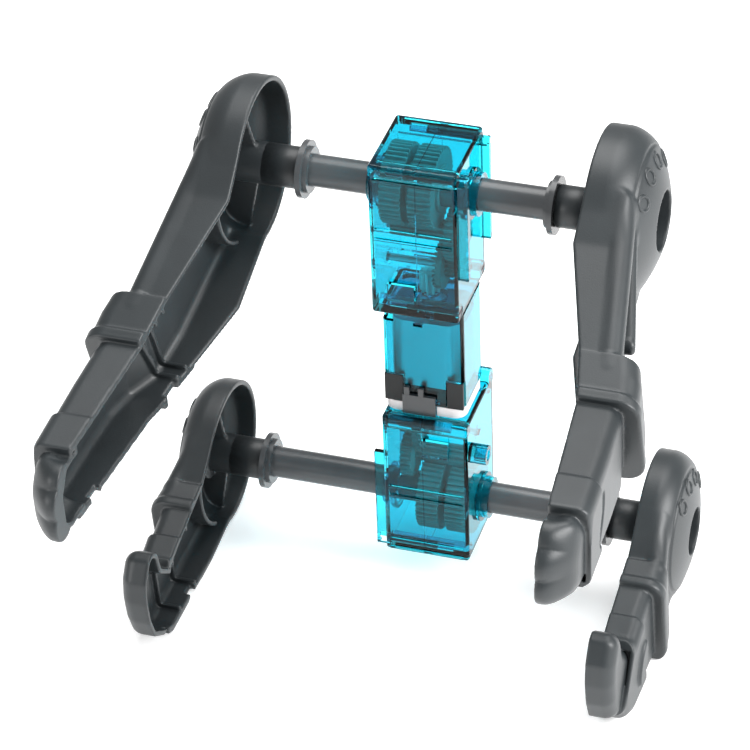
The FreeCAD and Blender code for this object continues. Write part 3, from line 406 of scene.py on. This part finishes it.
def arm_field(u, v, x, step):
    flat_u, flat_v = side_view(u, v)
    soft = corner_passes(1.0, step)
    side = soften(polygon_distance(ARM_BODY, flat_u, flat_v), soft)
    around = np.hypot(flat_u, flat_v)
    along = flat_u - ELBOW_LEAN * (flat_v + 4.1)
    crown = dome_height(around, ARM_DOME, ARM_RADIUS)
    rim = np.interp(flat_u, *ARM_RIM)

    # the face of the plain tray, then with the wrist cuff and the oval dished into it
    cuff = smooth_step(CUFF_FROM, CUFF_FROM + 0.6, flat_u)
    plain = np.interp(flat_u, *ARM_FACE)
    face = plain + CUFF_RISE * cuff
    oval = np.hypot((flat_u - PAD_AT[0] + 0.35 * (flat_v - PAD_AT[1])) / 3.4,
                    (flat_v - PAD_AT[1]) / 6.6)
    pad_face = face - CUFF_RISE * (1 - smooth_step(0.92, 1.04, oval))

    palm = polygon_distance(PALM, flat_u, flat_v)
    knuckles = palm
    for cu, cv, radius in KNUCKLES:
        knuckles = np.minimum(knuckles, np.hypot(flat_u - cu, flat_v - cv) - radius)

    # outside: tray, elbow band with its bead, disc, ridge, fin, wrist groove, fist
    tray = round_common((side - 0.55 * cuff)[:, :, None], x - pad_face[:, :, None], 3.6)
    tray = np.maximum(tray, flat_u[:, :, None] - ARM_END)
    band_face = np.interp(along, *ELBOW_FACE)
    band = wrap_band(along, ELBOW_LEAN, *ELBOW, side - 0.75, band_face, x, 5.2)
    bead = wrap_band(along, ELBOW_LEAN, *ELBOW_BEAD, side - 1.5, band_face + 0.4, x, 5.6) - 0.3
    tray = blend_union(tray, blend_union(band, bead, 1.2), 0.3)
    disc = groove_ring(disc_solid(around, x, ARM_RADIUS, crown, ARM_DISC_ROUND, 0), u, v, x,
                       (crown - GROOVE_SINK)[:, :, None], 19.4, GROOVE_DEEP)
    outside = blend_union(tray, disc, 1.0)
    outside = blend_union(outside, capsule(u, v, x, *ARM_RIDGE), 1.0)
    fin_u = np.clip(flat_u, *FIN)
    fin_line = np.hypot(flat_u - fin_u,
                        flat_v - FIN_LOW - FIN_FALL * (FIN[1] - fin_u) / FIN_RUN) - 2.4
    fin_top = np.interp(flat_u, *FIN_TOP)
    fin = np.maximum(round_common(fin_line[:, :, None], x - fin_top[:, :, None], 1.6), 55 - x)
    outside = blend_union(outside, fin, 0.8)
    gap = np.maximum(np.maximum(ARM_END - WRIST_GAP - u, u - ARM_END - 1),
                     (side + WALL)[:, :, None])
    gap = np.maximum(gap, x - (face - WALL)[:, :, None])
    outside = np.maximum(outside, -gap)
    block = soften(palm, 3 * soft) - 3.2
    fist = palm_outside(x, knuckles, block)
    outside = np.minimum(outside, np.maximum(fist, PALM_FROM - u))

    # inside
    tray_in = round_common(side[:, :, None] + WALL, x - (plain - WALL)[:, :, None], 2.2)
    tray_in = np.maximum(tray_in, u - (ARM_END - 3.6))
    inside = blend_union(tray_in, disc_solid(around, x, ARM_RADIUS, crown, ARM_DISC_ROUND, WALL),
                         1.0)
    fist_in = round_common(soften(palm, soft)[:, :, None] + WALL, x - 70.2 + WALL, 6.0)
    inside = np.minimum(inside, fist_in)
    shell = blend_cut(outside, inside, INNER_ROUND)
    shell = add_spine(shell, outside, u, v, x, -2.6 - 0.22 * (u - 20), plain, 2.6, (24, 104))
    for at in (56.8, 60.6):
        shell = np.minimum(shell, cross_rib(along, at, outside, inside, 1.7))
    shell = add_hub_ribs(shell, outside, u, v, x, ring_radius=22.4, ring_from=51.0,
                         rib_reach=22.6, rib_from=47.6, rib_slope=0.22)
    return drill_and_trim(shell, outside, u, v, x, rim,
                          notches=((56.0, -36.6, 2.4), (99.0, -35.0, 2.4)),
                          hub_from=44.0, boss_to=62.8, cup_from=56.6, cup_radius=9.4,
                          recess_from=58.0, recess_radius=8.0)


# ---------------------------------------------------------------- leg

LEG_BODY = [
    (13.0, 16.0), (24.4, 7.6), (33.6, 5.4), (44.2, 2.9), (50.5, 0.9), (58.0, 0.4), (62.0, -14.0),
    (58.0, -19.0), (53.0, -21.4), (20.8, -22.1), (6.0, -20.2), (-6.0, -6.0),
]
FOOT = [
    (48.0, -4.0), (57.6, 3.6), (59.6, 10.6), (63.0, 13.0), (66.0, 12.4), (69.7, 7.0),
    (70.2, 0.5), (68.9, -6.8), (66.0, -13.6), (58.6, -18.9), (54.0, -21.0), (46.0, -21.6),
]
LEG_RADIUS = 21.1
LEG_DISC_ROUND = 4.5
LEG_DOME = (73.6, 0.0106)
LEG_RIM = 60.4
LEG_REST = -REAR_Z                  # the floor
LEG_FACE = ([-26, 10, 24, 34, 50, 66], [68.2, 69.0, 69.7, 69.4, 69.0, 68.4])
LEG_RIDGE = ((11, 11.0, 66.0), (25, 5.0, 68.4), 2.8)
KNEE_LEAN = 0.15
KNEE = (25.3, 33.2)
KNEE_BEAD = (31.8, 34.0)
KNEE_FACE = ([25, 30, 34], [71.6, 72.4, 72.4])
SLEEVE_FROM = 43.9
SLEEVE_RISE = 0.8
SLEEVE_WALL = 1.3
OVAL_AT = (45.6, -10.0)
ANKLE_FALL = 0.85                   # turns a run along u into one square to the slanted end
FOOT_FACE = 68.0
FOOT_WALL = 1.4


def leg_field(u, v, x, step):
    flat_u, flat_v = side_view(u, v)
    soft = corner_passes(0.8, step)
    side = soften(polygon_distance(LEG_BODY, flat_u, flat_v), soft)
    foot_side = soften(polygon_distance(FOOT, flat_u, flat_v), soft)
    around = np.hypot(flat_u, flat_v)
    along = flat_u - KNEE_LEAN * (flat_v - 7.9)
    crown = dome_height(around, LEG_DOME, LEG_RADIUS)
    rim = LEG_RIM + 0 * flat_u

    # the face of the plain tray, then with the ankle sleeve and the raised oval on it
    end = 52.5 + 0.62 * (1.2 - flat_v)
    sleeve = smooth_step(SLEEVE_FROM, SLEEVE_FROM + 0.6, along)
    sleeve_rise = sleeve * (0.7 + 0.5 * swell(end - 0.1, 1.3, flat_u))
    plain = np.interp(flat_u, *LEG_FACE)
    face = plain + SLEEVE_RISE * sleeve
    oval = np.hypot((flat_u - OVAL_AT[0] + 0.4 * (flat_v - OVAL_AT[1])) / 3.2,
                    (flat_v - OVAL_AT[1]) / 6.2)
    pad_face = face + SLEEVE_RISE * (1 - smooth_step(0.86, 1.02, oval))

    # outside: tray, knee band with its bead, disc, ridge, ankle groove, foot
    tray = round_common((side - sleeve_rise)[:, :, None], x - pad_face[:, :, None], 3.4)
    tray = np.maximum(tray, (flat_u - end)[:, :, None] * ANKLE_FALL)
    band_face = np.interp(along, *KNEE_FACE)
    band = wrap_band(along, KNEE_LEAN, *KNEE, side - 0.75, band_face, x, 4.6)
    bead = wrap_band(along, KNEE_LEAN, *KNEE_BEAD, side - 1.2, band_face, x, 4.8) - 0.25
    tray = blend_union(tray, blend_union(band, bead, 1.0), 0.3)
    disc = groove_ring(disc_solid(around, x, LEG_RADIUS, crown, LEG_DISC_ROUND, 0), u, v, x,
                       (crown - GROOVE_SINK)[:, :, None], 17.4, GROOVE_DEEP)
    outside = blend_union(tray, disc, 1.0)
    outside = blend_union(outside, capsule(u, v, x, *LEG_RIDGE), 1.0)
    gap = np.maximum(np.maximum(((end - 1.8 - flat_u) * ANKLE_FALL)[:, :, None], u - 62),
                     np.maximum((side + SLEEVE_WALL)[:, :, None],
                                x - (face - SLEEVE_WALL)[:, :, None]))
    outside = np.maximum(outside, -gap)
    foot = round_common(foot_side[:, :, None], x - FOOT_FACE, 3.6)
    outside = np.maximum(np.minimum(outside, foot), LEG_REST - v)

    # inside
    tray_in = round_common(side[:, :, None] + WALL, x - (plain - WALL)[:, :, None], 1.9)
    tray_in = np.maximum(tray_in, (flat_u - end)[:, :, None] * ANKLE_FALL + 3.0)
    inside = blend_union(tray_in, disc_solid(around, x, LEG_RADIUS, crown, LEG_DISC_ROUND, WALL),
                         1.0)
    foot_in = round_common(foot_side[:, :, None] + FOOT_WALL, x - (FOOT_FACE - FOOT_WALL), 2.2)
    inside = np.minimum(inside, foot_in)
    shell = blend_cut(outside, inside, INNER_ROUND)
    shell = add_spine(shell, outside, u, v, x, -3.6, plain, 2.3, (22, 50))
    for at in (38.6, 50.5):
        shell = np.minimum(shell, cross_rib(along, at, outside, inside, 1.6))
    shell = add_hub_ribs(shell, outside, u, v, x, ring_radius=20.4, ring_from=62.4,
                         rib_reach=20.4, rib_from=62.0, rib_slope=0.16)
    return drill_and_trim(shell, outside, u, v, x, rim,
                          notches=((37.0, -21.6, 1.8), (58.0, -21.6, 1.8)),
                          hub_from=58.4, boss_to=72.0, cup_from=66.1, cup_radius=8.0,
                          recess_from=67.5, recess_radius=6.6)


# ---------------------------------------------------------------- making the limbs

BOSS_CHAMFER = 0.3
BEAD_RADIUS = 1.95
BEAD_THICK = 0.42


def boss_tube(start, end):
    """The plain tube from the limb to the flange, with a softened inner end."""
    return tube([(start, BORE_RADIUS), (start, BOSS_RADIUS - BOSS_CHAMFER),
                 (start + BOSS_CHAMFER, BOSS_RADIUS), (end, BOSS_RADIUS), (end, BORE_RADIUS)])


def bead_ring(centre_u, centre_v, dome, sides=28, round_sides=8):
    """A small raised ring lying on a dome."""
    top, fall = dome
    points = []
    for i in range(sides):
        turn = 2 * math.pi * i / sides
        for j in range(round_sides):
            lean = 2 * math.pi * j / round_sides
            radius = BEAD_RADIUS + BEAD_THICK * math.cos(lean)
            u = centre_u + radius * math.cos(turn)
            v = centre_v + radius * math.sin(turn)
            points.append((u, v, top - fall * (u * u + v * v) + BEAD_THICK * math.sin(lean)))
    quads = []
    for i in range(sides):
        for j in range(round_sides):
            a, b = (i + 1) % sides, (j + 1) % round_sides
            quads.append((i * round_sides + j, a * round_sides + j,
                          a * round_sides + b, i * round_sides + b))
    return np.array(points), np.array(quads)


def mesh_object(name, points, quads):
    mesh = bpy.data.meshes.new(name)
    mesh.vertices.add(len(points))
    mesh.vertices.foreach_set("co", points.astype(np.float32).ravel())
    mesh.loops.add(quads.size)
    mesh.loops.foreach_set("vertex_index", quads.astype(np.int32).ravel())
    mesh.polygons.add(len(quads))
    mesh.polygons.foreach_set("loop_start", np.arange(0, quads.size, 4, dtype=np.int32))
    mesh.update(calc_edges=True)
    mesh.validate()
    mesh.polygons.foreach_set("use_smooth", np.ones(len(mesh.polygons), bool))
    thing = bpy.data.objects.new(name, mesh)
    bpy.context.scene.collection.objects.link(thing)
    return thing


def place_limb(points, quads, side, level, lag):
    """From limb frame to row frame, in metres, for one side."""
    u, v, x = points[:, 0], points[:, 1], points[:, 2]
    y, z = -u, v
    c, s = math.cos(lag), math.sin(lag)
    y, z = y * c - z * s, y * s + z * c
    placed = np.stack([side * x, AXLE_Y + y, level + z], 1) * MM
    # u forward is -y, so the limb frame is already mirrored once
    return placed, (quads if side > 0 else quads[:, ::-1])


def make_limb(kind, field, ranges, boss, level, body, lag, bead_circle, bead_angles, dome):
    """Makes the right and left limb of a kind and lets them stand in for the CAD limbs."""
    (u, v, x), start = limb_grid(*ranges, STEP)
    points, quads = surface_net(field(u, v, x, STEP), start, STEP)
    rings = [bead_ring(bead_circle * math.cos(math.radians(angle)),
                       bead_circle * math.sin(math.radians(angle)), dome)
             for angle in bead_angles]
    for more, faces in [boss_tube(*boss)] + rings:
        quads = np.concatenate([quads, faces + len(points)])
        points = np.concatenate([points, more])
    for word, side in (("right", 1), ("left", -1)):
        placed, ring = place_limb(points, quads, side, level, lag if side < 0 else 0.0)
        limb = mesh_object("%s_%s_moulding" % (word, kind), placed, ring)
        limb.data.materials.append(FINISHES["charcoal_plastic"])
        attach(limb, body)
        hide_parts("%s_%s" % (word, kind))


STEP = 0.4
make_limb("arm", arm_field, ((-25, 124), (-40, 26), (43, 76)), boss=(34.9, 45.0),
          level=FRONT_Z, body="front_axle_set", lag=ARM_LAG,
          bead_circle=16.2, bead_angles=(47, 75, 103, 131), dome=ARM_DOME)
make_limb("leg", leg_field, ((-23, 73), (-25, 23), (57, 76)), boss=(50.1, 59.5),
          level=REAR_Z, body="rear_axle_set", lag=0.0,
          bead_circle=14.8, bead_angles=(62, 90, 118, 146), dome=LEG_DOME)


# ---------------------------------------------------------------- stage, lights, camera

def aim(thing, target, roll=0.0):
    """Points a lamp's or camera's -Z at the target, turned by roll degrees about that line."""
    look = (Vector(target) - thing.location).to_track_quat("-Z", "Y").to_matrix().to_4x4()
    thing.matrix_world = (Matrix.Translation(thing.location) @ look
                          @ Matrix.Rotation(math.radians(roll), 4, "Z"))


def area_lamp(name, place, target, wide, power):
    lamp = bpy.data.lights.new(name, "AREA")
    lamp.shape = "RECTANGLE"
    lamp.size = wide
    lamp.size_y = wide
    lamp.energy = power
    thing = bpy.data.objects.new(name, lamp)
    bpy.context.scene.collection.objects.link(thing)
    thing.location = place
    aim(thing, target)


FLOOR_HALF = 4
FLOOR_Z = -0.0003
floor_mesh = bpy.data.meshes.new("floor")
floor_mesh.from_pydata([(-FLOOR_HALF, -FLOOR_HALF, FLOOR_Z), (FLOOR_HALF, -FLOOR_HALF, FLOOR_Z),
                        (FLOOR_HALF, FLOOR_HALF, FLOOR_Z), (-FLOOR_HALF, FLOOR_HALF, FLOOR_Z)],
                       [], [(0, 1, 2, 3)])
floor = bpy.data.objects.new("floor", floor_mesh)
bpy.context.scene.collection.objects.link(floor)
floor_material, floor_nodes, floor_links, floor_shader = new_material("floor_paper")
mould_texture(floor_nodes, floor_links, floor_shader, (0.93, 0.93, 0.93), (0.95, 0.95, 0.95),
              400, 0.02)
floor_shader.inputs["Roughness"].default_value = 0.9
floor_shader.inputs["Emission Color"].default_value = (1, 1, 1, 1)
floor_shader.inputs["Emission Strength"].default_value = 0.35
floor_mesh.materials.append(floor_material)

world = bpy.data.worlds.new("studio")
world.use_nodes = True
world.node_tree.nodes["Background"].inputs["Color"].default_value = (1, 1, 1, 1)
world.node_tree.nodes["Background"].inputs["Strength"].default_value = 0.45
bpy.context.scene.world = world
bpy.context.scene.view_settings.view_transform = "Standard"

MIDDLE = (0.0, 0.0, 0.075)
area_lamp("key", (0.75, -0.1, 0.55), MIDDLE, 0.45, 12.0)
area_lamp("top", (0.05, 0.35, 0.95), MIDDLE, 0.7, 9.0)
area_lamp("fill", (-0.6, -0.65, 0.35), MIDDLE, 0.3, 2.5)

FOCAL_LENGTH = 174.55
CAMERA_PLACE = (0.2395, -0.7114, 0.6442)
CAMERA_TARGET = (-0.0041, 0.0107, 0.0877)
CAMERA_ROLL = -2.18
lens = bpy.data.cameras.new("camera")
lens.lens = FOCAL_LENGTH
lens.sensor_width = 36
lens.clip_end = 20
camera = bpy.data.objects.new("camera", lens)
bpy.context.scene.collection.objects.link(camera)
camera.location = CAMERA_PLACE
aim(camera, CAMERA_TARGET, CAMERA_ROLL)
bpy.context.scene.camera = camera
